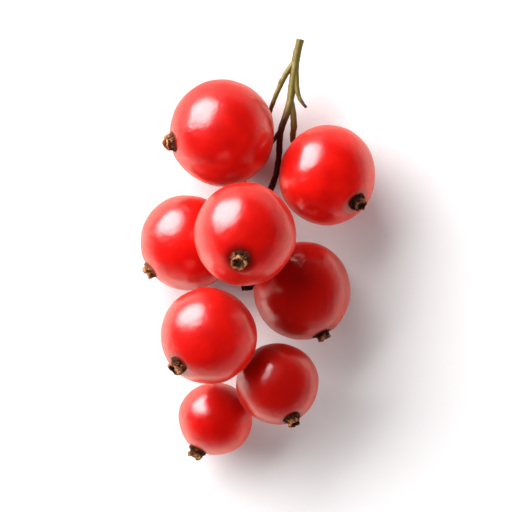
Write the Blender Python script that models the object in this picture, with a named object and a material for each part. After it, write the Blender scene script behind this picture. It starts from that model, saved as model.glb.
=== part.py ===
"""A picked sprig of redcurrants lying on a flat surface.

Nine berries hang on one branching stalk, and each berry carries the dried calyx of its flower. The surface
is the plane z = 0, +Y points from the tip berry to the picked end of the stalk, and the origin is the middle
of the sprig's footprint. Lengths in the tables are millimetres, and the scene is in metres.
"""

import math
from typing import NamedTuple, Optional

import bmesh
import bpy
from mathutils import Matrix, Vector

MM = 0.001

# Berries: nearly round, a little shorter from stalk to calyx, and pressed flat where they rest.
BERRY_SEGMENTS = 24
BERRY_RINGS = 14
OBLATENESS = 0.035
REST_PRESS = 0.15
FILL_EVERY_SIDE = 0

# The dried calyx: a short ribbed tube with a collar where it leaves the berry. Its radii are shares of the collar's.
CALYX_LENGTH = 0.85
CALYX_WAIST = 0.82
CALYX_RIM = 0.88
CALYX_LOBES = 5
CALYX_SEGMENTS = 3 * CALYX_LOBES
CALYX_LOBE_DEPTH = 0.10

# The stalk: every pedicel ends in a small foot that faces its berry.
PEDICEL_FOOT_RADIUS = 0.30
PEDICEL_FOOT_LENGTH = 0.35
STALK_RING_SIDES = 8
STEPS_BETWEEN_POINTS = 2

# Neighbouring pieces touch in nature. This gap keeps their solids apart.
JOINT_GAP = 0.12

SKIN_RED = (0.68, 0.012, 0.006, 1)
CALYX_BROWN = (0.10, 0.042, 0.018, 1)
STALK_GREEN = (0.20, 0.14, 0.022, 1)


class Berry(NamedTuple):
    """Where a berry lies and which way its two ends face: headings go round from +X seen from above, tilts rise."""

    name: str
    diameter: float
    x: float
    y: float
    height: Optional[float]  # of the centre, or None for a berry that rests on the surface
    calyx_diameter: float
    calyx_heading: float
    calyx_tilt: float
    stalk_heading: float
    stalk_tilt: float

    @property
    def radius(self):
        return self.diameter / 2

    @property
    def centre(self):
        height = self.radius - REST_PRESS if self.height is None else self.height
        return Vector((self.x, self.y, height))

    @property
    def calyx_way(self):
        return direction(self.calyx_heading, self.calyx_tilt)

    @property
    def stalk_way(self):
        return direction(self.stalk_heading, self.stalk_tilt)

    @property
    def seat(self):
        """Distance from the centre to the small flat that carries the calyx."""
        return self.radius * math.cos(math.pi / BERRY_RINGS) * (1 - OBLATENESS)


def direction(heading, tilt):
    heading, tilt = math.radians(heading), math.radians(tilt)
    return Vector((math.cos(tilt) * math.cos(heading), math.cos(tilt) * math.sin(heading), math.sin(tilt)))


BERRIES = (
    Berry("top_left", 10.8, -3.7, 12.0, None, 2.15, -168, 14, 20, -32),
    Berry("top_right", 10.1, 7.1, 7.7, None, 1.9, -44, 34, 136, -38),
    Berry("left", 9.7, -7.3, 0.7, None, 1.75, -144, 9, 35, -22),
    Berry("centre", 10.3, -1.4, 1.5, 13.2, 2.0, -102, 59, 76, -59),
    Berry("right", 10.1, 4.4, -4.2, None, 1.8, -65, 12, 111, -20),
    Berry("lower_left", 9.8, -5.0, -8.7, 11.5, 1.95, -136, 29, 42, -31),
    Berry("lower_right", 8.5, 1.8, -13.7, 7.7, 1.8, -65, 25, 130, -31),
    Berry("tip", 7.7, -4.5, -17.5, None, 1.9, -119, 8, 93, -27),
    Berry("small_underneath", 3.7, -1.3, -1.7, None, 1.6, -86, 4, 97, -4),
)

# The main stalk from its picked end to the last fork, as (x, y, z, radius).
RACHIS = (
    (4.25, 21.6, 4.9, 0.39),
    (4.1, 20.9, 4.85, 0.36),
    (3.9, 20.0, 4.8, 0.37),
    (3.65, 18.4, 4.8, 0.39),
    (3.4, 16.6, 4.85, 0.35),
    (3.2, 15.1, 4.9, 0.34),
    (2.65, 13.4, 4.85, 0.32),
    (2.2, 12.0, 4.5, 0.29),
    (2.1, 10.0, 3.6, 0.27),
    (1.9, 8.4, 3.1, 0.28),
    (1.4, 6.6, 3.1, 0.28),
    (-0.1, 3.4, 3.7, 0.28),
    (-1.3, 0.9, 4.2, 0.27),
    (-2.0, -1.4, 4.15, 0.26),
    (-3.0, -2.6, 3.1, 0.25),
    (-4.2, -2.75, 1.6, 0.25),
    (-5.4, -3.2, 0.85, 0.24),
    (-6.1, -4.1, 0.8, 0.24),
    (-6.0, -5.6, 1.25, 0.24),
    (-5.1, -8.1, 1.9, 0.23),
    (-3.9, -10.6, 2.4, 0.22),
)

# Each pedicel leaves the rachis at its first point, and its last point is followed by its foot on the berry.
PEDICELS = {
    "top_left": (
        (3.6, 19.2, 4.8, 0.27),
        (2.8, 18.1, 4.8, 0.27),
        (2.1, 16.7, 4.7, 0.23),
        (1.45, 15.1, 4.3, 0.19),
        (1.2, 14.4, 3.2, 0.19),
    ),
    "top_right": (
        (3.2, 15.6, 4.85, 0.28),
        (3.55, 14.0, 4.8, 0.29),
        (3.6, 12.5, 4.4, 0.29),
        (3.5, 11.3, 2.9, 0.24),
    ),
    "left": (
        (2.4, 12.6, 4.65, 0.20),
        (1.7, 11.5, 3.4, 0.18),
        (0.6, 10.1, 1.8, 0.18),
        (-0.6, 8.6, 1.1, 0.18),
        (-2.7, 5.0, 1.4, 0.18),
    ),
    "centre": (
        (1.2, 6.1, 3.2, 0.20),
        (0.7, 5.4, 5.2, 0.19),
        (-0.1, 4.8, 7.4, 0.19),
    ),
    "right": (
        (0.1, 3.9, 3.6, 0.20),
        (1.1, 2.8, 3.6, 0.19),
        (2.0, 1.4, 3.3, 0.19),
    ),
    "small_underneath": (
        (-0.85, 1.85, 4.0, 0.18),
        (-1.4, 1.7, 3.2, 0.16),
        (-1.65, 1.2, 2.2, 0.16),
    ),
    "lower_left": (
        (-6.0, -5.5, 1.2, 0.20),
        (-4.9, -5.9, 2.9, 0.19),
        (-3.2, -5.8, 5.6, 0.19),
        (-2.0, -5.6, 7.7, 0.19),
    ),
    "lower_right": (
        (-4.0, -10.4, 2.4, 0.19),
        (-2.6, -10.8, 3.2, 0.19),
        (-1.5, -10.9, 4.2, 0.19),
    ),
    "tip": (
        (-4.0, -10.4, 2.4, 0.19),
        (-4.6, -11.9, 1.7, 0.18),
        (-4.75, -12.9, 1.35, 0.18),
    ),
}

# A pedicel whose berry was lost, as (x, y, z, radius).
BARE_PEDICEL = (
    (3.75, 18.8, 4.8, 0.24),
    (3.86, 17.7, 4.9, 0.24),
    (3.92, 16.5, 5.0, 0.22),
    (4.25, 15.4, 5.2, 0.18),
    (4.85, 14.6, 5.4, 0.11),
)


def clear_scene():
    for item in list(bpy.data.objects):
        bpy.data.objects.remove(item)


def make_material(name, colour, roughness):
    material = bpy.data.materials.new(name)
    material.use_nodes = True
    shader = material.node_tree.nodes["Principled BSDF"]
    shader.inputs["Base Color"].default_value = colour
    shader.inputs["Roughness"].default_value = roughness
    shader.inputs["Metallic"].default_value = 0
    return material


def add_object(name, bm, material):
    """The bmesh as a smooth-shaded object of that name."""
    mesh = bpy.data.meshes.new(name)
    bm.to_mesh(mesh)
    bm.free()
    mesh.shade_smooth()
    mesh.set_sharp_from_angle(angle=math.radians(40))
    mesh.materials.append(material)
    item = bpy.data.objects.new(name, mesh)
    bpy.context.scene.collection.objects.link(item)
    return item


def placement(berry):
    """The matrix that points local +Z at the berry's calyx and puts the origin at its centre."""
    turn = Vector((0, 0, 1)).rotation_difference(berry.calyx_way)
    return Matrix.Translation(berry.centre * MM) @ turn.to_matrix().to_4x4()


def flatten_underside(bm, matrix):
    """Cuts off what would lie under the surface, and closes the cut with one flat face."""
    to_local = matrix.inverted()
    bmesh.ops.bisect_plane(
        bm,
        geom=[*bm.verts, *bm.edges, *bm.faces],
        plane_co=to_local @ Vector((matrix.translation.x, matrix.translation.y, 0)),
        plane_no=to_local.to_3x3() @ Vector((0, 0, -1)),
        clear_outer=True,
    )
    rim = [edge for edge in bm.edges if edge.is_boundary]
    bmesh.ops.holes_fill(bm, edges=rim, sides=FILL_EVERY_SIDE)


def add_berry(berry, material):
    bm = bmesh.new()
    bmesh.ops.create_uvsphere(
        bm, u_segments=BERRY_SEGMENTS, v_segments=BERRY_RINGS, radius=berry.radius * MM
    )
    for vert in bm.verts:
        vert.co.z = min(berry.seat * MM, vert.co.z * (1 - OBLATENESS))
    matrix = placement(berry)
    if berry.height is None:
        flatten_underside(bm, matrix)
    item = add_object("berry_" + berry.name, bm, material)
    item.matrix_world = matrix


def lathe(rings, segments):
    """A closed solid from (radius, height, lobe depth) rings, each a circle that its lobes push in and out."""
    bm = bmesh.new()
    loops = []
    for radius, height, depth in rings:
        loop = []
        for step in range(segments):
            angle = 2 * math.pi * step / segments
            reach = radius * (1 + depth * math.cos(CALYX_LOBES * angle)) * MM
            loop.append(bm.verts.new((reach * math.cos(angle), reach * math.sin(angle), height * MM)))
        loops.append(loop)
    for low, high in zip(loops, loops[1:]):
        for step in range(segments):
            after = (step + 1) % segments
            bm.faces.new((low[step], low[after], high[after], high[step]))
    bm.faces.new(reversed(loops[0]))
    bm.faces.new(loops[-1])
    return bm


def add_calyx(berry, material):
    """The calyx stands on the berry's flat, with a shallow cup in its free end."""
    collar = berry.calyx_diameter / 2
    rings = (
        (collar * 0.95, 0, 0),
        (collar, CALYX_LENGTH * 0.12, 0),
        (collar * CALYX_WAIST, CALYX_LENGTH * 0.35, CALYX_LOBE_DEPTH * 0.3),
        (collar * CALYX_WAIST, CALYX_LENGTH * 0.7, CALYX_LOBE_DEPTH * 0.6),
        (collar * CALYX_RIM, CALYX_LENGTH, CALYX_LOBE_DEPTH),
        (collar * CALYX_RIM * 0.72, CALYX_LENGTH, CALYX_LOBE_DEPTH),
        (collar * CALYX_RIM * 0.5, CALYX_LENGTH * 0.65, CALYX_LOBE_DEPTH * 0.5),
    )
    bm = lathe(rings, CALYX_SEGMENTS)
    item = add_object("calyx_" + berry.name, bm, material)
    item.matrix_world = placement(berry) @ Matrix.Translation((0, 0, (berry.seat + JOINT_GAP) * MM))


def smooth_route(points):
    """The Catmull-Rom curve through the points, whose numbers past x, y and z ride along with them."""
    ends = [points[0], *points, points[-1]]
    route = []
    for before, start, end, after in zip(ends, ends[1:], ends[2:], ends[3:]):
        for step in range(STEPS_BETWEEN_POINTS):
            t = step / STEPS_BETWEEN_POINTS
            weights = (
                (-t + 2 * t**2 - t**3) / 2,
                (2 - 5 * t**2 + 3 * t**3) / 2,
                (t + 4 * t**2 - 3 * t**3) / 2,
                (-(t**2) + t**3) / 2,
            )
            columns = zip(before, start, end, after)
            route.append(tuple(sum(w * v for w, v in zip(weights, column)) for column in columns))
    route.append(points[-1])
    return route


def tube(name, route):
    """A closed tube along (x, y, z, radius) points, made from a curve with filled caps."""
    curve = bpy.data.curves.new(name, "CURVE")
    curve.dimensions = "3D"
    curve.bevel_depth = MM
    curve.bevel_resolution = STALK_RING_SIDES // 2 - 2
    curve.use_fill_caps = True
    spline = curve.splines.new("POLY")
    spline.points.add(len(route) - 1)
    for point, (x, y, z, radius) in zip(spline.points, route):
        point.co = (x * MM, y * MM, z * MM, 1)
        point.radius = radius
    guide = bpy.data.objects.new(name + "_guide", curve)
    bpy.context.scene.collection.objects.link(guide)
    bpy.context.view_layer.update()
    mesh = bpy.data.meshes.new_from_object(guide)
    bpy.data.objects.remove(guide)
    bm = bmesh.new()
    bm.from_mesh(mesh)
    bpy.data.meshes.remove(mesh)
    bmesh.ops.remove_doubles(bm, verts=bm.verts, dist=0.001 * MM)
    bmesh.ops.recalc_face_normals(bm, faces=bm.faces)
    return bm


def pedicel_route(berry):
    """The pedicel's own points, then the foot that stands square to the berry's stalk end."""
    own = PEDICELS[berry.name]
    foot = berry.centre + berry.stalk_way * (berry.radius * (1 - OBLATENESS) + JOINT_GAP)
    above_foot = foot + berry.stalk_way * PEDICEL_FOOT_LENGTH
    route = smooth_route([*own, (*above_foot, own[-1][3])])
    return [*route, (*foot, PEDICEL_FOOT_RADIUS)]


def add_stalk(material):
    """The rachis with every pedicel joined on, as one grown piece."""
    stalk = add_object("stalk", tube("stalk", smooth_route(RACHIS)), material)
    branches = {berry.name: pedicel_route(berry) for berry in BERRIES}
    branches["bare"] = smooth_route(BARE_PEDICEL)
    for name, route in branches.items():
        branch = add_object("branch_" + name, tube(name, route), material)
        branch.hide_render = True
        branch.display_type = "WIRE"
        join = stalk.modifiers.new("join_" + name, "BOOLEAN")
        join.operation = "UNION"
        join.solver = "EXACT"
        join.object = branch


def main():
    clear_scene()
    skin = make_material("berry_skin", SKIN_RED, roughness=0.22)
    dried = make_material("dried_calyx", CALYX_BROWN, roughness=0.85)
    bark = make_material("stalk_green", STALK_GREEN, roughness=0.55)
    for berry in BERRIES:
        add_berry(berry, skin)
        add_calyx(berry, dried)
    add_stalk(bark)


main()
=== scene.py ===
# %% [markdown]
# # A sprig of redcurrants
#
# A picked sprig of redcurrants lies on a white table and is seen from straight above. Nine berries hang on one
# branching stalk. Each berry still carries its calyx, the dried remains of the flower that it grew from.
#
# The lesson starts from a measured model, in which the berries are plain balls and the stalk is a rough tube.
# Every piece is modelled again here, at the same place and size, with the unevenness and the skin of the real one.

# %% Load the measured model
import math

import bmesh
import bpy
from mathutils import Matrix, Vector


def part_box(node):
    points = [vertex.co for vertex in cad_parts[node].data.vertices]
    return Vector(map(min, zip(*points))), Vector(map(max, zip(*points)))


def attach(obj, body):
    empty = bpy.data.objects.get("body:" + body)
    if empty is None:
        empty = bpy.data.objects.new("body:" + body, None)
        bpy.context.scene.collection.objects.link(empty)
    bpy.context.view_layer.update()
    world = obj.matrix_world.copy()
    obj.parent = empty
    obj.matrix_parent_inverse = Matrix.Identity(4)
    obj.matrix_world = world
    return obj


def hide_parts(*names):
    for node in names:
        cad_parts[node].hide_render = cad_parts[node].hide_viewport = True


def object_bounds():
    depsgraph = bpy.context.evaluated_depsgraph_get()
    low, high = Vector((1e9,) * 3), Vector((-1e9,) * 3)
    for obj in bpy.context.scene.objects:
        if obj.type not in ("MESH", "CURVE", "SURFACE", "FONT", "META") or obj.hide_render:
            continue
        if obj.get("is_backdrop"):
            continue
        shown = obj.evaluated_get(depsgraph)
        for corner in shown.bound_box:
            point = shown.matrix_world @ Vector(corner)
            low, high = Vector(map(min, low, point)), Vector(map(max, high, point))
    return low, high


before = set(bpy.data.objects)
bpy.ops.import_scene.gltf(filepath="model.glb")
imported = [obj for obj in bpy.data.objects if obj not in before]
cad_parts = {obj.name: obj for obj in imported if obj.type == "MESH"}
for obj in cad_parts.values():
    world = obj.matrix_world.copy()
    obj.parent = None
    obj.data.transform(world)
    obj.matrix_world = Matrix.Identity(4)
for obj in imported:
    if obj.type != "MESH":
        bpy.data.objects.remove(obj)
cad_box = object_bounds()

MM = 0.001
TINY = 0.001 * MM
NAMES = [name.removeprefix("berry_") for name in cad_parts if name.startswith("berry_")]
print("berries:", NAMES)

# %% [markdown]
# ## Working as by hand
#
# Blender's operators act on whatever is selected, so each step first selects one piece and nothing else. Inside
# edit mode the points are picked by a rule about where they are, much as a box or a circle selection would do.

# %% Select a piece, and select points in it
def only(*pieces):
    bpy.ops.object.select_all(action="DESELECT")
    for piece in pieces:
        piece.select_set(True)
    bpy.context.view_layer.objects.active = pieces[0]


def edit(piece):
    only(piece)
    bpy.ops.object.mode_set(mode="EDIT")
    bpy.ops.mesh.select_mode(type="VERT")
    bpy.ops.mesh.select_all(action="DESELECT")


def pick(piece, rule):
    bm = bmesh.from_edit_mesh(piece.data)
    for vert in bm.verts:
        vert.select_set(rule(vert.co))
    bm.select_flush_mode()
    bmesh.update_edit_mesh(piece.data)


def leave_edit():
    bpy.ops.object.mode_set(mode="OBJECT")


def apply_modifiers(piece):
    only(piece)
    for modifier in list(piece.modifiers):
        bpy.ops.object.modifier_apply(modifier=modifier.name)


def settle(piece):
    """Puts the piece's place into its mesh, so that the object sits at the origin, unturned and unscaled."""
    only(piece)
    bpy.ops.object.transform_apply(location=True, rotation=True, scale=True)


# %% [markdown]
# ## The camera
#
# The camera hangs 30 cm above the table and looks straight down through a long lens, so the berries near the edge
# are hardly seen from the side. Its clip distance is shortened because the sprig is only four centimetres long.

# %% Camera
CAMERA_HEIGHT = 298 * MM
CAMERA_CENTRE = (-0.3 * MM, -0.7 * MM)

camera_data = bpy.data.cameras.new("camera")
camera_data.lens = 200
camera_data.sensor_width = 36
camera_data.clip_start = 0.01
camera = bpy.data.objects.new("camera", camera_data)
camera.location = (*CAMERA_CENTRE, CAMERA_HEIGHT)
bpy.context.scene.collection.objects.link(camera)
bpy.context.scene.camera = camera
frame_width = CAMERA_HEIGHT * camera_data.sensor_width / camera_data.lens
print(f"the camera sees {frame_width / MM:.1f} mm of table")

# %% [markdown]
# ## Colours
#
# Colours are written as the hex values of an image editor. Blender's shaders work with linear light, so one
# function turns the first into the second.

# %% Hex colour to linear
def colour(hex_code):
    channels = [int(hex_code[at : at + 2], 16) / 255 for at in (1, 3, 5)]
    linear = [c / 12.92 if c <= 0.04045 else ((c + 0.055) / 1.055) ** 2.4 for c in channels]
    return (*linear, 1)


# %% [markdown]
# ## Building a material
#
# A material is a small network. The helper adds one node, sets its sockets and properties, and links other nodes
# into it. Each material below starts from Blender's Principled shader and names the real stuff it stands for.

# %% Add a node with its settings and links
def new_material(name):
    material = bpy.data.materials.new(name)
    material.use_nodes = True
    return material, material.node_tree, material.node_tree.nodes["Principled BSDF"]


def add_node(tree, kind, links=None, values=None, **settings):
    node = tree.nodes.new(kind)
    for key, value in settings.items():
        setattr(node, key, value)
    for socket, value in (values or {}).items():
        node.inputs[socket].default_value = value
    for socket, source in (links or {}).items():
        tree.links.new(source, node.inputs[socket])
    return node


def set_ramp(node, *stops):
    ramp = node.color_ramp
    while len(ramp.elements) < len(stops):
        ramp.elements.new(0.5)
    for element, (position, value) in zip(ramp.elements, stops):
        element.position = position
        element.color = value


# %% [markdown]
# ## The table
#
# The sprig lies on a matt white table that runs out of view on every side. One plain plane is enough for it. It
# lies a hair lower than the berries' flat undersides, because two faces at the same height flicker in a render.
# It is kept out of reflections, which get a table of their own in the next step.

# %% Table
TABLE_SIZE = 3.0
TABLE_DROP = 0.02 * MM


def add_stage_plane(name, size, material, drop=TABLE_DROP):
    bpy.ops.object.select_all(action="DESELECT")
    bpy.ops.mesh.primitive_plane_add(size=size, location=(0, 0, -drop))
    plane = bpy.context.object
    plane.name = name
    plane.data.materials.append(material)
    plane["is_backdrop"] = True
    return plane


paper, tree, shader = new_material("matt_white_table")
shader.inputs["Base Color"].default_value = colour("#F4F3F4")
shader.inputs["Roughness"].default_value = 1.0
shader.inputs["Specular IOR Level"].default_value = 0.0
table = add_stage_plane("table", TABLE_SIZE, paper)
table.visible_glossy = False
print(f"{table.name}: {TABLE_SIZE} m across")

# %% [markdown]
# On a big white table the rims of glossy fruit wash out, so a studio lays the sprig on a white card not much
# larger than itself, on a greyer table. The skins then mirror the card in their rims only. Here the eye gets the
# endless white table, and reflections get a second one, which fades to grey away from the sprig. The card is a
# third wider than it is long, and its middle is a little towards the tip berry.

# %% The table that the skins mirror
CARD_RADIUS = 34 * MM
CARD_FLATTENING = (0.75, 1, 0)
CARD_SHIFT = (0, 8 * MM, 0)
FADE_START, FADE_END = 0.7, 1.2
CARD_BRIGHTNESS = 0.95
GREY_BRIGHTNESS = 0.45

card, tree, shader = new_material("white_card_on_grey_table")
tree.nodes.remove(shader)
where = add_node(tree, "ShaderNodeTexCoord").outputs["Object"]
flattened = add_node(
    tree, "ShaderNodeVectorMath", {0: where}, {1: CARD_FLATTENING}, operation="MULTIPLY"
).outputs[0]
shifted = add_node(tree, "ShaderNodeVectorMath", {0: flattened}, {1: CARD_SHIFT}, operation="ADD").outputs[0]
distance = add_node(tree, "ShaderNodeVectorMath", {0: shifted}, operation="LENGTH").outputs["Value"]
brightness = add_node(
    tree,
    "ShaderNodeMapRange",
    {"Value": distance},
    {
        "From Min": FADE_START * CARD_RADIUS,
        "From Max": FADE_END * CARD_RADIUS,
        "To Min": CARD_BRIGHTNESS,
        "To Max": GREY_BRIGHTNESS,
    },
).outputs[0]

# %% [markdown]
# The card's colour is made brighter on its left, which is painted light for the light that falls there without
# crossing the berries, and it is tinted red, which is painted red bounce light from the ripe berries onto the
# paper round them. The plane is then hidden from everything but reflections, as the softbox will be.

# %% Paint light on its left side and a red bounce on it
PAINTED_LIGHT_WAY = (-1, -0.15, 0)
PAINTED_LIGHT_FROM, PAINTED_LIGHT_TO = 1 * MM, 18 * MM
PAINTED_LIGHT_GAIN = 1.7
PAINTED_RED_BOUNCE = colour("#FFEBDD")[:3]

toward_left = add_node(
    tree, "ShaderNodeVectorMath", {0: where}, {1: PAINTED_LIGHT_WAY}, operation="DOT_PRODUCT"
).outputs["Value"]
# Painted light: the card's colour is multiplied up towards its left side.
painted_light_side = add_node(
    tree,
    "ShaderNodeMapRange",
    {"Value": toward_left},
    {"From Min": PAINTED_LIGHT_FROM, "From Max": PAINTED_LIGHT_TO, "To Min": 1.0, "To Max": PAINTED_LIGHT_GAIN},
).outputs[0]
card_with_painted_light = add_node(tree, "ShaderNodeMath", {0: brightness, 1: painted_light_side}, operation="MULTIPLY").outputs[0]
# Painted red bounce light: the card's colour is tinted red.
card_with_painted_bounce = add_node(
    tree, "ShaderNodeVectorMath", {"Scale": card_with_painted_light}, {0: PAINTED_RED_BOUNCE}, operation="SCALE"
).outputs[0]
chalk = add_node(tree, "ShaderNodeBsdfDiffuse", {"Color": card_with_painted_bounce}).outputs[0]
tree.links.new(chalk, tree.nodes["Material Output"].inputs["Surface"])


def show_only_in_reflections(plane):
    plane.visible_camera = False
    plane.visible_diffuse = False
    plane.visible_transmission = False
    plane.visible_shadow = False


mirrored_table = add_stage_plane("mirrored_table", TABLE_SIZE, card, drop=0.5 * TABLE_DROP)
show_only_in_reflections(mirrored_table)
print(f"{mirrored_table.name}: a white card {2 * CARD_RADIUS / MM:.0f} mm across on grey")

# %% [markdown]
# ## Light
#
# Every light is hung on a ball round the sprig and faces its middle, so a distance and two angles say where it is.
# The azimuth turns about the vertical from the right-hand side, and the elevation is the height above the table.

# %% Hang a light
def hang(distance, azimuth, elevation, spin=0):
    """The place and turn of a thing that hangs round the sprig and faces it; the angles are in degrees."""
    around, up = math.radians(azimuth), math.radians(elevation)
    way = Vector((math.cos(up) * math.cos(around), math.cos(up) * math.sin(around), math.sin(up)))
    turn = way.to_track_quat("Z", "Y").to_matrix().to_4x4()
    return Matrix.Translation(way * distance) @ turn @ Matrix.Rotation(math.radians(spin), 4, "Z")


def add_light(name, size, power, distance, azimuth, elevation, tint="#FFFFFF"):
    data = bpy.data.lights.new(name, "AREA")
    data.shape = "RECTANGLE"
    data.size, data.size_y = size
    data.energy = power
    data.color = colour(tint)[:3]
    light = bpy.data.objects.new(name, data)
    light.matrix_world = hang(distance, azimuth, elevation)
    light.visible_glossy = False
    bpy.context.scene.collection.objects.link(light)
    print(f"{name}: {power} W, {distance} m away")


# %% [markdown]
# A wide white scrim at the upper left gives the soft light and lays a broad shadow to the right. A weak overhead
# panel fills the shadows, and a low white card at the lower right throws some light back into the dark sides of
# the berries. All three stay out of reflections, as a polarising filter keeps them in a studio, so the tops of the
# skins stay deep red.

# %% Lights
add_light("scrim", size=(1.5, 0.85), power=31, distance=1.0, azimuth=140, elevation=32)
add_light("overhead_fill", size=(1.6, 1.6), power=2.0, distance=1.0, azimuth=0, elevation=90, tint="#FFF2EF")
add_light("bounce_card", size=(1.4, 0.5), power=6.0, distance=0.9, azimuth=-40, elevation=20)

# %% [markdown]
# What the skins do mirror is a smaller softbox that stands low at the same side, bright in the middle and fading
# towards its edges: one soft squarish highlight on each berry. A power between 2 and 3 of the distance along each
# side gives a patch of light that is rounder than a square and squarer than a circle.

# %% The softbox that the skins mirror
SOFTBOX_BRIGHTNESS = 15
SOFTBOX_HALF_WIDTH = 0.25
SOFTBOX_SQUARENESS = 2.2

glow, tree, shader = new_material("softbox_diffuser")
tree.nodes.remove(shader)
where = add_node(tree, "ShaderNodeTexCoord").outputs["Object"]
parts = add_node(tree, "ShaderNodeSeparateXYZ", {"Vector": where})
sides = []
for axis in "XY":
    ratio = add_node(
        tree, "ShaderNodeMath", {0: parts.outputs[axis]}, {1: SOFTBOX_HALF_WIDTH}, operation="DIVIDE"
    ).outputs[0]
    size = add_node(tree, "ShaderNodeMath", {0: ratio}, operation="ABSOLUTE").outputs[0]
    power = add_node(tree, "ShaderNodeMath", {0: size}, {1: SOFTBOX_SQUARENESS}, operation="POWER")
    sides.append(power.outputs[0])
off_middle = add_node(tree, "ShaderNodeMath", dict(enumerate(sides)), operation="ADD").outputs[0]
fade = add_node(
    tree,
    "ShaderNodeMapRange",
    {"Value": off_middle},
    {"From Min": 0.0, "From Max": 1.0, "To Min": SOFTBOX_BRIGHTNESS, "To Max": 0.0},
    interpolation_type="SMOOTHERSTEP",
).outputs[0]
emission = add_node(tree, "ShaderNodeEmission", {"Strength": fade}, {"Color": colour("#FFF6FA")}).outputs[0]
tree.links.new(emission, tree.nodes["Material Output"].inputs["Surface"])

softbox = add_stage_plane("softbox", 2 * SOFTBOX_HALF_WIDTH, glow)
softbox.matrix_world = hang(distance=0.36, azimuth=134, elevation=24, spin=43)
show_only_in_reflections(softbox)
print(f"{softbox.name}: {2 * SOFTBOX_HALF_WIDTH} m wide")

# %% [markdown]
# The room around is light grey near the table and dark overhead. It is what the skins mirror where neither the
# table nor the softbox is, so it keeps the tops of the berries a deep red. The Standard view shows the colours as
# they come out, without a film-like curve over them.

# %% Room
world = bpy.data.worlds.new("room")
world.use_nodes = True
bpy.context.scene.world = world
tree = world.node_tree
where = add_node(tree, "ShaderNodeTexCoord").outputs["Generated"]
height = add_node(tree, "ShaderNodeSeparateXYZ", {"Vector": where}).outputs["Z"]
sky = add_node(tree, "ShaderNodeValToRGB", {"Fac": height})
set_ramp(sky, (0.0, colour("#B8B8B8")), (0.12, colour("#707070")), (0.35, colour("#1C1C1C")))
tree.links.new(sky.outputs["Color"], tree.nodes["Background"].inputs["Color"])
bpy.context.scene.view_settings.view_transform = "Standard"

# %% [markdown]
# ## Where each berry is
#
# The measured model says where every berry is. Its box gives the centre and the size, and the middle of its
# calyx gives the way that the calyx end faces. The stalk end faces the nearest bit of the stalk, because there the
# pedicel, the berry's own little stem, holds it. The radius gets one percent more than the box says, since the
# uneven skin dips in as well as out, and the centre is measured down from the top of the box, because a resting
# berry has lost its underside.

# %% Read the berries' places
UNEVEN_ALLOWANCE = 1.01
TOP_SHARE = 0.985
FOOT_DEPTH = 0.15 * MM


class Place:
    """A berry's centre and radius, and the ways its calyx end and its stalk end face."""

    def __init__(self, name):
        low, high = (Vector(corner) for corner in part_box("berry_" + name))
        self.name = name
        self.radius = (high.x - low.x + high.y - low.y) / 4 * UNEVEN_ALLOWANCE
        middle = (low + high) / 2
        self.centre = Vector((middle.x, middle.y, high.z - self.radius * TOP_SHARE))
        calyx = [vert.co.copy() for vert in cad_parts["calyx_" + name].data.vertices]
        calyx_middle = sum(calyx, Vector()) / len(calyx)
        self.calyx_way = (calyx_middle - self.centre).normalized()
        depths = [(point - self.centre).dot(self.calyx_way) for point in calyx]
        self.calyx_base = self.centre + self.calyx_way * min(depths)
        self.collar = max((point - self.calyx_base).cross(self.calyx_way).length for point in calyx)
        stalk = [vert.co.copy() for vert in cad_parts["stalk"].data.vertices]
        near = min((point - self.centre).length for point in stalk)
        touching = [point for point in stalk if (point - self.centre).length < near + FOOT_DEPTH]
        self.foot = sum(touching, Vector()) / len(touching)
        self.stalk_way = (self.foot - self.centre).normalized()


places = {name: Place(name) for name in NAMES}
for place in places.values():
    print(f"{place.name}: {2 * place.radius / MM:.1f} mm across, centre {place.centre.z / MM:.1f} mm up")

# %% [markdown]
# ## One berry
#
# A currant is a ball of juice in a thin tight skin. It is slightly shorter from end to end, it swells a little
# towards the calyx, and it puckers where the calyx sits. It is modelled once, from a sphere whose poles are the
# two ends. Proportional editing drags a point and lets its neighbours follow, as a hand would press clay.

# %% Model the berry
BERRY_RADIUS = 5 * MM
BERRY_LENGTH_SHARE = 0.97
SHOULDER = 0.16 * MM
SHOULDER_REACH = 4.5 * MM
CALYX_PUCKER = 0.34 * MM
CALYX_PUCKER_REACH = 1.7 * MM


def press(piece, spot, move, reach):
    """In edit mode, drags the point nearest to the spot and takes along what lies within reach."""
    points = bmesh.from_edit_mesh(piece.data).verts
    nearest = min(points, key=lambda vert: (vert.co - spot).length).co.copy()
    pick(piece, lambda co: (co - nearest).length < TINY)
    bpy.ops.transform.translate(
        value=move,
        use_proportional_edit=True,
        proportional_edit_falloff="SMOOTH",
        proportional_size=reach,
    )


bpy.ops.object.select_all(action="DESELECT")
bpy.ops.mesh.primitive_uv_sphere_add(segments=88, ring_count=60, radius=BERRY_RADIUS, location=(0, 0, 0))
berry = bpy.context.object
berry.name = "berry_pattern"
edit(berry)
bpy.ops.mesh.select_all(action="SELECT")
bpy.ops.transform.resize(value=(1, 1, BERRY_LENGTH_SHARE))
calyx_pole = Vector((0, 0, BERRY_RADIUS * BERRY_LENGTH_SHARE))
press(berry, calyx_pole, (0, 0, SHOULDER), SHOULDER_REACH)
press(berry, calyx_pole, (0, 0, -CALYX_PUCKER), CALYX_PUCKER_REACH)
leave_edit()

# %% [markdown]
# The skin is darkened to brown in a narrow ring round the calyx, which is painted shade for the pucker that the
# calyx shades. A number on every point, called an attribute, says how near that point is to the calyx, and the
# skin's material reads it. Copies of the berry keep it.

# %% Note how near the calyx is
RING_OUTER = 1.9 * MM
RING_INNER = 0.9 * MM

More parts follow.
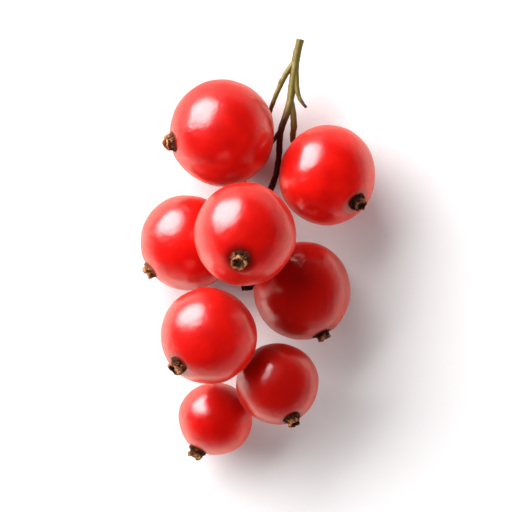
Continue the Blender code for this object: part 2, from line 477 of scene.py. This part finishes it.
near_calyx = berry.data.attributes.new("near_calyx", "FLOAT", "POINT")
for vert, item in zip(berry.data.vertices, near_calyx.data):
    reach = vert.co.xy.length if vert.co.z > 0 else RING_OUTER
    item.value = max(0, min(1, (RING_OUTER - reach) / (RING_OUTER - RING_INNER)))
print("berry pattern:", len(berry.data.vertices), "points")

# %% [markdown]
# ## Ripe currant skin
#
# The skin is thin and taut over red juice and cloudy flesh. It could be one flat red, but real skin is deeper
# where the flesh is denser, in patches of two or three millimetres. Riper berries are darker all over, which is
# another attribute; the berries that lie in the shade of others are made darker by it too, which is painted
# shade. The ring round the calyx is darker and brownish, which is painted shade.

# %% Skin colour
CLOUD_SIZE = 2.6 * MM
CALYX_SHADE_STRENGTH = 0.75

currant_skin, tree, shader = new_material("ripe_currant_skin")
where = add_node(tree, "ShaderNodeTexCoord").outputs["Object"]
clouds = add_node(
    tree, "ShaderNodeTexNoise", {"Vector": where}, {"Scale": 1 / CLOUD_SIZE, "Detail": 3, "Roughness": 0.55}
)
flesh = add_node(tree, "ShaderNodeValToRGB", {"Fac": clouds.outputs["Fac"]})
set_ramp(flesh, (0.30, colour("#BE0401")), (0.52, colour("#CC0802")), (0.72, colour("#DA0F04")))
# On a Mix node for colours, inputs 6 and 7 are the two colours, and output 2 is the result.
# Ripeness and painted shade: the berries in the shade of others are made darker.
riper_and_shaded = add_node(tree, "ShaderNodeAttribute", attribute_name="ripeness_and_shade").outputs["Fac"]
ripened_and_shaded = add_node(
    tree,
    "ShaderNodeMix",
    {"Factor": riper_and_shaded, 6: flesh.outputs["Color"]},
    {7: colour("#7E0602")},
    data_type="RGBA",
)
# Painted shade: a dark brown ring is mixed into the skin round the calyx.
ring = add_node(tree, "ShaderNodeAttribute", attribute_name="near_calyx").outputs["Fac"]
calyx_shade_strength = add_node(tree, "ShaderNodeMath", {0: ring}, {1: CALYX_SHADE_STRENGTH}, operation="MULTIPLY")
skin_with_calyx_shade = add_node(
    tree,
    "ShaderNodeMix",
    {"Factor": calyx_shade_strength.outputs[0], 6: ripened_and_shaded.outputs[2]},
    {7: colour("#5A0A05")},
    data_type="RGBA",
)
tree.links.new(skin_with_calyx_shade.outputs[2], shader.inputs["Base Color"])
print(f"{currant_skin.name}: clouds of {CLOUD_SIZE / MM:.1f} mm")

# %% [markdown]
# The skin is not quite smooth. It waves over a millimetre or two and has a fine grain on a scale of tenths of a
# millimetre. Both are too shallow to model as faces, so they are bumps in the material. They give the highlight
# its mottled edge.

# %% Skin relief
WAVE_SIZE = 1.6 * MM
WAVE_HEIGHT = 0.10 * MM
GRAIN_SIZE = 0.5 * MM
GRAIN_HEIGHT = 0.04 * MM

wave = add_node(tree, "ShaderNodeTexNoise", {"Vector": where}, {"Scale": 1 / WAVE_SIZE, "Detail": 2})
grain = add_node(tree, "ShaderNodeTexNoise", {"Vector": where}, {"Scale": 1 / GRAIN_SIZE, "Detail": 3})
wave_bump = add_node(
    tree, "ShaderNodeBump", {"Height": wave.outputs["Fac"]}, {"Strength": 0.4, "Distance": WAVE_HEIGHT}
)
grain_bump = add_node(
    tree,
    "ShaderNodeBump",
    {"Height": grain.outputs["Fac"], "Normal": wave_bump.outputs["Normal"]},
    {"Strength": 0.8, "Distance": GRAIN_HEIGHT},
)
for socket in ("Normal", "Coat Normal"):
    tree.links.new(grain_bump.outputs["Normal"], shader.inputs[socket])
print(f"waves of {WAVE_SIZE / MM:.1f} mm, grain of {GRAIN_SIZE / MM:.1f} mm")

# %% [markdown]
# Light goes into the berry, is reddened by the juice, and comes out again nearby. Red light travels some
# millimetres and other colours hardly at all, which softens the shadows and makes the thin edges glow. That is
# subsurface scattering. The wax on the skin is a coat that mirrors the softbox and the table. It gets weaker
# where the skin turns away from the eye, or the rims would be white, and a little sheen there is its dusty bloom.

# %% Skin depth and wax
RED_TRAVEL = 6.0 * MM
WAX_FADE_START = 0.5
WAX_AT_RIM = 0.15

shader.inputs["Subsurface Weight"].default_value = 0.85
shader.inputs["Subsurface Radius"].default_value = (1.0, 0.06, 0.03)
shader.inputs["Subsurface Scale"].default_value = RED_TRAVEL
shader.inputs["Roughness"].default_value = 0.45
shader.inputs["IOR"].default_value = 1.4
shader.inputs["Specular IOR Level"].default_value = 0.15
shader.inputs["Coat Roughness"].default_value = 0.21
shader.inputs["Coat IOR"].default_value = 1.6
shader.inputs["Sheen Weight"].default_value = 0.10
shader.inputs["Sheen Roughness"].default_value = 0.45
shader.inputs["Sheen Tint"].default_value = colour("#FFA890")
facing = add_node(tree, "ShaderNodeLayerWeight", None, {"Blend": 0.5}).outputs["Facing"]
wax = add_node(
    tree,
    "ShaderNodeMapRange",
    {"Value": facing},
    {"From Min": WAX_FADE_START, "From Max": 1.0, "To Min": 1.0, "To Max": WAX_AT_RIM},
)
tree.links.new(wax.outputs[0], shader.inputs["Coat Weight"])
print(f"{currant_skin.name}: {len(tree.nodes)} nodes")

# %% [markdown]
# ## Nine berries
#
# No two berries are alike. Each is a little wider or narrower, because it grew as its place on the sprig let it,
# and some have ripened further and are darker. Those that lie in the shade of others are darker still, which is
# painted shade. One table holds what sets each berry apart.

# %% How each berry grew
SHAPES = {
    # width and length in shares of the diameter, shift along X and Y in mm, how much riper than the rest, with
    # painted shade on the berries that others shade
    "top_left": (1.006, 1.036, -0.12, -0.04, 0.10),
    "top_right": (0.985, 1.03, -0.08, -0.09, 0.0),
    "left": (1.01, 1.02, -0.02, -0.05, 0.0),
    "centre": (0.995, 1.01, 0.0, 0.0, 0.15),
    "right": (0.995, 1.01, 0.06, -0.08, 0.55),
    "lower_left": (0.995, 1.0, -0.03, 0.0, 0.10),
    "lower_right": (1.0, 0.985, 0.07, -0.05, 0.5),
    "tip": (1.005, 0.985, 0.0, -0.02, 0.20),
    "small_underneath": (0.97, 0.97, 0.0, 0.0, 0.8),
}

# %% [markdown]
# Five small helpers do what comes up again and again: copy a pattern, make a noise texture, push the points in and
# out by it, stretch a piece to its size, and give it its finish. The noise is read at the points' places in the
# scene, so each copy gets an unevenness of its own.

# %% Copy, roughen, fit and finish a piece
def copy_of(pattern, name):
    piece = pattern.copy()
    piece.data = pattern.data.copy()
    piece.name = name
    bpy.context.scene.collection.objects.link(piece)
    return piece


def cloud_texture(name, size, depth=1):
    texture = bpy.data.textures.new(name, "CLOUDS")
    texture.noise_scale = size
    texture.noise_depth = depth
    return texture


def displace(piece, texture, strength):
    modifier = piece.modifiers.new(texture.name, "DISPLACE")
    modifier.texture = texture
    modifier.texture_coords = "GLOBAL"
    modifier.strength = strength
    modifier.mid_level = 0.5
    apply_modifiers(piece)


def fit(piece, centre, diameter, girths):
    """Stretches and moves the piece until it fills its diameter times its girth on each axis."""
    points = [vert.co.copy() for vert in piece.data.vertices]
    lows, highs = (Vector([end(co[axis] for co in points) for axis in range(3)]) for end in (min, max))
    shares = [diameter * girth / length for girth, length in zip(girths, highs - lows)]
    stretch = Matrix.Diagonal((*shares, 1))
    piece.matrix_world = Matrix.Translation(centre) @ stretch @ Matrix.Translation((lows + highs) / -2)
    settle(piece)


def declare(piece, node, material):
    """Hides the measured piece that this one stands for, hangs the piece on the root body, and gives it its finish.
    """
    piece.data.materials.clear()
    piece.data.materials.append(material)
    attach(piece, "root")
    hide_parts(node)


# %% [markdown]
# Every berry is a copy of the pattern with its own mesh. It is turned until its calyx end faces the right way,
# rolled about that axis by the golden angle, so that no roll repeats, and made slightly uneven by soft noise. Where
# it rests on the table it is cut off flat, as soft fruit flattens under its own weight, and it puckers where the
# pedicel holds it.

# %% Place the berries
GOLDEN_TURN = math.radians(137.5)
UNEVENNESS = 0.22 * MM
STALK_PUCKER = 0.22 * MM
STALK_PUCKER_REACH = 1.3 * MM
SHARP_ANGLE = math.radians(50)

lumps = cloud_texture("lumps", 3.6 * MM)
for order, (name, place) in enumerate(places.items()):
    piece = copy_of(berry, "skin_" + name)
    turned = Vector((0, 0, 1)).rotation_difference(place.calyx_way).to_matrix().to_4x4()
    rolled = turned @ Matrix.Rotation(order * GOLDEN_TURN, 4, "Z")
    sized = Matrix.Scale(place.radius / BERRY_RADIUS, 4)
    piece.matrix_world = Matrix.Translation(place.centre) @ rolled @ sized
    settle(piece)
    displace(piece, lumps, UNEVENNESS * place.radius / BERRY_RADIUS)
    across, along, shift_x, shift_y, ripeness_and_shade = SHAPES[name]
    fit(piece, place.centre + Vector((shift_x, shift_y, 0)) * MM, 2 * place.radius, (across, along, 1))
    edit(piece)
    press(piece, place.foot, -place.stalk_way * STALK_PUCKER, STALK_PUCKER_REACH)
    bpy.ops.mesh.select_all(action="SELECT")
    bpy.ops.mesh.bisect(
        plane_co=(0, 0, 0), plane_no=(0, 0, 1), use_fill=True, clear_inner=True, threshold=TINY
    )
    bpy.ops.mesh.select_all(action="SELECT")
    bpy.ops.mesh.normals_make_consistent(inside=False)
    leave_edit()
    only(piece)
    bpy.ops.object.shade_smooth_by_angle(angle=SHARP_ANGLE)
    darkness = piece.data.attributes.new("ripeness_and_shade", "FLOAT", "POINT")
    darkness.data.foreach_set("value", [ripeness_and_shade] * len(piece.data.vertices))
    declare(piece, "berry_" + name, currant_skin)
    print(f"{piece.name}: {len(piece.data.polygons)} faces")
bpy.data.objects.remove(berry)

# %% [markdown]
# ## One dried calyx
#
# When the flower withers, its calyx stays on the berry: a short tube with a flared collar, whose five sepals dry
# into a crumpled tuft. It is made like a thrown pot. A disc's rim is extruded ring by ring, each ring scaled to
# the next radius of the profile, over the rim and down into the cup, where the last ring is merged into a point.

# %% Model the calyx
CALYX_RINGS = (
    # height and radius in mm, for a collar of about 1 mm
    (-0.10, 0.90),
    (0.02, 1.02),
    (0.10, 1.04),
    (0.18, 0.94),
    (0.30, 0.80),
    (0.48, 0.76),
    (0.66, 0.77),
    (0.82, 0.80),
    (0.90, 0.76),
    (0.90, 0.64),
    (0.82, 0.52),
    (0.70, 0.40),
    (0.62, 0.22),
)
CALYX_FOOT = (-0.30, 0.70)
SEPALS = 5

bpy.ops.object.select_all(action="DESELECT")
height, radius = CALYX_FOOT
bpy.ops.mesh.primitive_circle_add(
    vertices=8 * SEPALS, radius=radius * MM, fill_type="TRIFAN", location=(0, 0, height * MM)
)
calyx = bpy.context.object
calyx.name = "calyx_pattern"
settle(calyx)
edit(calyx)
pick(calyx, lambda co: co.xy.length > 0.9 * radius * MM)
for next_height, next_radius in CALYX_RINGS:
    rise = (0, 0, (next_height - height) * MM)
    bpy.ops.mesh.extrude_region_move(TRANSFORM_OT_translate={"value": rise})
    share = next_radius / radius
    bpy.ops.transform.resize(value=(share, share, 1))
    height, radius = next_height, next_radius
bpy.ops.mesh.merge(type="CENTER")
leave_edit()
print("calyx pattern:", len(calyx.data.vertices), "points")

# %% [markdown]
# The sepals are five ribs of the tube. The valleys between them are pulled in, more towards the rim. One side of
# the rim is raised and leaned inward, so that the tuft closes over its cup as a withered flower does.

# %% Fold the sepals
VALLEYS = (
    # height in mm above which the valleys are pulled in, and to what share
    (0.25, 0.96),
    (0.60, 0.93),
    (0.78, 0.92),
)
VALLEY_EDGE = -0.2
LEANING_HEIGHT = 0.80 * MM
LEANING_SIDE = 0.2 * MM
LEAN = Vector((-0.12, 0, 0.05)) * MM


def rib(co):
    """1 on the middle of a sepal and -1 in the valley between two."""
    return math.cos(SEPALS * math.atan2(co.y, co.x))


edit(calyx)
for low, valley_share in VALLEYS:
    pick(calyx, lambda co: co.z > low * MM and rib(co) < VALLEY_EDGE)
    bpy.ops.transform.resize(value=(valley_share, valley_share, 1), center_override=(0, 0, 0))
pick(calyx, lambda co: co.z > LEANING_HEIGHT and co.x > LEANING_SIDE)
bpy.ops.transform.translate(value=LEAN)
bpy.ops.mesh.select_all(action="SELECT")
bpy.ops.mesh.normals_make_consistent(inside=False)
leave_edit()
smoothing = calyx.modifiers.new("subdivision", "SUBSURF")
smoothing.levels = smoothing.render_levels = 2
apply_modifiers(calyx)
print("folded calyx:", len(calyx.data.vertices), "points")

# %% [markdown]
# The sepals bleach towards their tips, and the inside of the cup stays dark. An attribute says how near a point is
# to the tips, and it fades to nothing inside the cup.

# %% Note how near the tips are
TIP_HEIGHT = 0.9 * MM
CUP_RADIUS = 0.25 * MM
CUP_WALL = 0.4 * MM

toward_tip = calyx.data.attributes.new("toward_tip", "FLOAT", "POINT")
for vert, item in zip(calyx.data.vertices, toward_tip.data):
    rise = max(0, min(1, vert.co.z / TIP_HEIGHT))
    out_of_cup = max(0, min(1, (vert.co.xy.length - CUP_RADIUS) / CUP_WALL))
    item.value = rise * out_of_cup
print("dark inside a cup of", round(CUP_RADIUS / MM, 2), "mm")

# %% [markdown]
# ## Dry brown sepals
#
# Dead plant skin is matt and brown, bleached to tan in places. Where it sticks out it is painted paler, and in
# its folds it is painted nearly black, which is painted light and painted shade. The pointiness of the surface,
# which Cycles measures from the mesh, tells ridges from folds. Blotches of about a millimetre keep the bleaching
# from looking painted.

# %% Sepal colour
PATCH_SIZE = 0.9 * MM
TIP_PALENESS = 0.52

withered, tree, shader = new_material("withered_sepal")
where = add_node(tree, "ShaderNodeTexCoord").outputs["Object"]
pointiness = add_node(tree, "ShaderNodeNewGeometry").outputs["Pointiness"]
patches = add_node(
    tree, "ShaderNodeTexNoise", {"Vector": where}, {"Scale": 1 / PATCH_SIZE, "Detail": 2}
).outputs["Fac"]
# Painted light and painted shade: ridges are made paler and folds darker by pointiness.
ridge_light_fold_shade = add_node(
    tree,
    "ShaderNodeMapRange",
    {"Value": pointiness},
    {"From Min": 0.43, "From Max": 0.57, "To Min": -0.32, "To Max": 0.34},
).outputs[0]
blotch = add_node(
    tree,
    "ShaderNodeMapRange",
    {"Value": patches},
    {"From Min": 0.3, "From Max": 0.7, "To Min": -0.20, "To Max": 0.20},
).outputs[0]
paleness = add_node(tree, "ShaderNodeMath", {0: ridge_light_fold_shade, 1: blotch}, operation="ADD").outputs[0]
# Bleaching, and painted shade for the calyx of the small berry underneath.
bleaching_and_shade = add_node(tree, "ShaderNodeAttribute", attribute_name="bleaching_and_shade").outputs["Fac"]
bleached_and_shaded = add_node(tree, "ShaderNodeMath", {0: paleness, 1: bleaching_and_shade}, operation="ADD").outputs[0]
tip = add_node(tree, "ShaderNodeAttribute", attribute_name="toward_tip").outputs["Fac"]
sepal_tone_and_shade = add_node(
    tree,
    "ShaderNodeMath",
    {0: tip, 2: bleached_and_shaded},
    {1: TIP_PALENESS},
    operation="MULTIPLY_ADD",
    use_clamp=True,
)
browns = add_node(tree, "ShaderNodeValToRGB", {"Fac": sepal_tone_and_shade.outputs[0]})
set_ramp(
    browns,
    (0.0, colour("#1A0702")),
    (0.35, colour("#411B0A")),
    (0.65, colour("#8A5630")),
    (1.0, colour("#E2AC82")),
)
tree.links.new(browns.outputs["Color"], shader.inputs["Base Color"])

# %% [markdown]
# Dead fibres make the sepals rough on a scale of a tenth of a millimetre or two. They are bumps in the material,
# and the surface is dull, with hardly any shine left.

# %% Sepal fibres
FIBRE_SIZE = 0.16 * MM
FIBRE_HEIGHT = 0.03 * MM

fibres = add_node(tree, "ShaderNodeTexNoise", {"Vector": where}, {"Scale": 1 / FIBRE_SIZE, "Detail": 4})
fibre_bump = add_node(
    tree, "ShaderNodeBump", {"Height": fibres.outputs["Fac"]}, {"Strength": 0.4, "Distance": FIBRE_HEIGHT}
)
tree.links.new(fibre_bump.outputs["Normal"], shader.inputs["Normal"])
shader.inputs["Roughness"].default_value = 0.8
shader.inputs["Specular IOR Level"].default_value = 0.25
print(f"{withered.name}: {len(tree.nodes)} nodes")

# %% [markdown]
# ## Nine dried calyxes
#
# Each calyx is a copy, set on its berry with its foot sunk into the skin, and crumpled by noise of two sizes. The
# noise is fixed in space, so each place gets folds of its own and no two calyxes are alike. Some have bleached
# more than others, and the calyx of the small berry underneath is made darker, which is painted shade.

# %% Copy and crumple the calyxes
BLEACHING_AND_SHADE = {
    # how much paler than the rest; the small berry's calyx, down among the others, is darkened as painted shade
    "top_left": 0.1,
    "top_right": -0.15,
    "left": 0.2,
    "centre": 0.0,
    "right": -0.2,
    "lower_left": 0.0,
    "lower_right": -0.15,
    "tip": 0.0,
    "small_underneath": -0.5,
}
FOLD_DEPTH = 0.46 * MM
CREASE_DEPTH = 0.09 * MM

folds = cloud_texture("folds", 0.60 * MM)
creases = cloud_texture("creases", 0.22 * MM)
for order, (name, place) in enumerate(places.items()):
    piece = copy_of(calyx, "sepals_" + name)
    turned = Vector((0, 0, 1)).rotation_difference(place.calyx_way).to_matrix().to_4x4()
    rolled = turned @ Matrix.Rotation(order * GOLDEN_TURN, 4, "Z")
    piece.matrix_world = Matrix.Translation(place.calyx_base) @ rolled @ Matrix.Scale(place.collar / MM, 4)
    settle(piece)
    displace(piece, folds, FOLD_DEPTH)
    displace(piece, creases, CREASE_DEPTH)
    piece.data.shade_smooth()
    bleached_and_shaded = piece.data.attributes.new("bleaching_and_shade", "FLOAT", "POINT")
    bleached_and_shaded.data.foreach_set("value", [BLEACHING_AND_SHADE[name]] * len(piece.data.vertices))
    declare(piece, "calyx_" + name, withered)
bpy.data.objects.remove(calyx)
print(len(BLEACHING_AND_SHADE), "calyxes")

# %% [markdown]
# ## The stalk
#
# The rachis, its pedicels and the bare pedicel grew as one piece. The measured model has it as crisp joined
# tubes, stored as loose triangles. A copy of that is merged first, so that it is one closed skin. The copy drops
# the notes that the measured piece carries, because it is a new piece of its own.

# %% Copy and merge the measured stalk
stalk = copy_of(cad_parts["stalk"], "green_stalk")
stalk.parent = None
stalk.matrix_world = Matrix.Identity(4)
for key in list(stalk.keys()):
    del stalk[key]
edit(stalk)
bpy.ops.mesh.select_all(action="SELECT")
bpy.ops.mesh.remove_doubles(threshold=TINY)
leave_edit()
print("measured stalk:", len(stalk.data.vertices), "points")

# %% [markdown]
# A bract is the tiny scale-like leaf at the foot of a pedicel. It starts as a ball, which is stretched into a
# blade whose lower end is thin. It stands in the fork, turned along its pedicel.

# %% Model the bract
BRACT_RADIUS = 0.2 * MM
BRACT_STRETCH = (0.5, 2.7, 0.7)
BRACT_TAPER = (0.35, 1, 0.35)
BRACT_PLACE = Vector((2.1, 17.2, 4.85)) * MM
BRACT_TURN = math.radians(-24)

bpy.ops.object.select_all(action="DESELECT")
bpy.ops.mesh.primitive_uv_sphere_add(segments=16, ring_count=10, radius=BRACT_RADIUS, location=(0, 0, 0))
bract = bpy.context.object
edit(bract)
bpy.ops.mesh.select_all(action="SELECT")
bpy.ops.transform.resize(value=BRACT_STRETCH)
pick(bract, lambda co: co.y < -0.5 * BRACT_RADIUS)
bpy.ops.transform.resize(value=BRACT_TAPER, center_override=(0, 0, 0))
leave_edit()
bract.matrix_world = Matrix.Translation(BRACT_PLACE) @ Matrix.Rotation(BRACT_TURN, 4, "Z")
settle(bract)
print("bract:", [round(length / MM, 2) for length in bract.dimensions], "mm")

# %% [markdown]
# A voxel remesh wraps stalk and bract in one even skin, so the bract grows out of the stem, and smoothing turns
# each join into the soft fork of a living stem. The voxels are a tenth of the stem's width, so that it stays
# round.

# %% Remesh and smooth
VOXEL = 0.055 * MM

only(stalk, bract)
bpy.ops.object.join()
stalk = bpy.context.object
stalk.name = "green_stalk"
remesh = stalk.modifiers.new("remesh", "REMESH")
remesh.mode = "VOXEL"
remesh.voxel_size = VOXEL
smooth = stalk.modifiers.new("smooth", "SMOOTH")
smooth.factor = 0.5
smooth.iterations = 10
apply_modifiers(stalk)
print("stalk:", len(stalk.data.vertices), "points")

# %% [markdown]
# Noise makes the stem slightly knotty. Smoothing has thinned and rounded it, so it is fattened again, and the
# clean cut where the sprig was picked off its bush is made afresh across its end. The end of each pedicel is drawn
# out until it sits in the pucker of its berry.

# %% Roughen the stem and cut its end
KNOT_DEPTH = 0.10 * MM
THICKER = 0.06 * MM
PEDICEL_STRETCH = 0.42 * MM
PEDICEL_STRETCH_REACH = 1.1 * MM
CUT_PLACE = Vector((4.24, 21.66, 4.9)) * MM
CUT_WAY = Vector((0.12, 1.0, 0.1)).normalized()

displace(stalk, cloud_texture("knots", 0.9 * MM, depth=2), KNOT_DEPTH)
edit(stalk)
bpy.ops.mesh.select_all(action="SELECT")
bpy.ops.transform.shrink_fatten(value=THICKER)
bpy.ops.mesh.bisect(plane_co=CUT_PLACE, plane_no=CUT_WAY, use_fill=True, clear_outer=True, threshold=TINY)
for place in places.values():
    press(stalk, place.foot, -place.stalk_way * PEDICEL_STRETCH, PEDICEL_STRETCH_REACH)
bpy.ops.mesh.select_all(action="SELECT")
bpy.ops.mesh.normals_make_consistent(inside=False)
leave_edit()
only(stalk)
bpy.ops.object.shade_smooth_by_angle(angle=SHARP_ANGLE)
print("stalk, cut and joined to its berries:", len(stalk.data.polygons), "faces")

# %% [markdown]
# ## Green stem
#
# The stem is olive green where it was in the sun. It turns brown and dark down among the berries, less so on its
# right-hand pedicel; that darkening is partly its own brown and partly painted shade from the berries above it.
# The bare pedicel, which lost its berry, is withered at its tip. Four zones along X and Y say where that happens.
# Each goes evenly from one value to another, and they are multiplied and added into one age and shade.

# %% How old and how shaded each bit of the stem is
ZONES = {
    # axis, where the zone starts and where it is full in mm, value before and value after
    "browning": ("Y", 15.2, 12.2, 0.0, 1.0),
    "not_right": ("X", 3.15, 2.75, 0.2, 1.0),
    "below_fork": ("Y", 17.5, 16.0, 0.0, 1.0),
    "far_right": ("X", 3.9, 4.9, 0.0, 0.75),
}

green_stem, tree, shader = new_material("currant_stem")
where = add_node(tree, "ShaderNodeTexCoord").outputs["Object"]
along = add_node(tree, "ShaderNodeSeparateXYZ", {"Vector": where})
zones = {}
for name, (axis, start, full, before, after) in ZONES.items():
    zones[name] = add_node(
        tree,
        "ShaderNodeMapRange",
        {"Value": along.outputs[axis]},
        {"From Min": start * MM, "From Max": full * MM, "To Min": before, "To Max": after},
    ).outputs[0]
# Browning and painted shade: the stem is darkened down among the berries.
browned_and_shaded = add_node(
    tree, "ShaderNodeMath", {0: zones["browning"], 1: zones["not_right"]}, operation="MULTIPLY"
).outputs[0]
withering = add_node(
    tree, "ShaderNodeMath", {0: zones["below_fork"], 1: zones["far_right"]}, operation="MULTIPLY"
).outputs[0]
age_and_shade = add_node(tree, "ShaderNodeMath", {0: browned_and_shaded, 1: withering}, operation="ADD").outputs[0]

# %% [markdown]
# Faint ribs run along the stem, because its fibres do. They are drawn by noise that is stretched along the sprig,
# which shifts the colour a little and raises a bump.

# %% Stem colour and ribs
STREAK_SIZE = 0.22 * MM
STREAK_STRETCH = (1, 0.12, 1)
STREAK_SHIFT = 0.16
RIB_HEIGHT = 0.05 * MM

stretched = add_node(tree, "ShaderNodeMapping", {"Vector": where}, {"Scale": STREAK_STRETCH}).outputs[0]
streaks = add_node(
    tree, "ShaderNodeTexNoise", {"Vector": stretched}, {"Scale": 1 / STREAK_SIZE, "Detail": 3}
).outputs["Fac"]
shift = add_node(
    tree,
    "ShaderNodeMapRange",
    {"Value": streaks},
    {"From Min": 0.3, "From Max": 0.7, "To Min": -STREAK_SHIFT, "To Max": STREAK_SHIFT},
).outputs[0]
shade = add_node(tree, "ShaderNodeMath", {0: age_and_shade, 1: shift}, operation="ADD", use_clamp=True)
greens = add_node(tree, "ShaderNodeValToRGB", {"Fac": shade.outputs[0]})
set_ramp(
    greens,
    (0.0, colour("#655A22")),
    (0.3, colour("#5A481A")),
    (0.6, colour("#3E2410")),
    (1.0, colour("#2A1208")),
)
tree.links.new(greens.outputs["Color"], shader.inputs["Base Color"])
ribs = add_node(tree, "ShaderNodeBump", {"Height": streaks}, {"Strength": 0.5, "Distance": RIB_HEIGHT})
tree.links.new(ribs.outputs["Normal"], shader.inputs["Normal"])
shader.inputs["Roughness"].default_value = 0.5
print(f"{green_stem.name}: {len(tree.nodes)} nodes")
declare(stalk, "stalk", green_stem)

# %% [markdown]
# ## Last sizes
#
# The sizes of the measured model and of the finished one are printed one above the other.

# %% Print the sizes of both
model_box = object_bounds()
for title, box in (("measured model", cad_box), ("finished model", model_box)):
    sizes = [f"{low / MM:.2f} to {high / MM:.2f}" for low, high in zip(*box)]
    print(title, "in mm:", ", ".join(sizes))
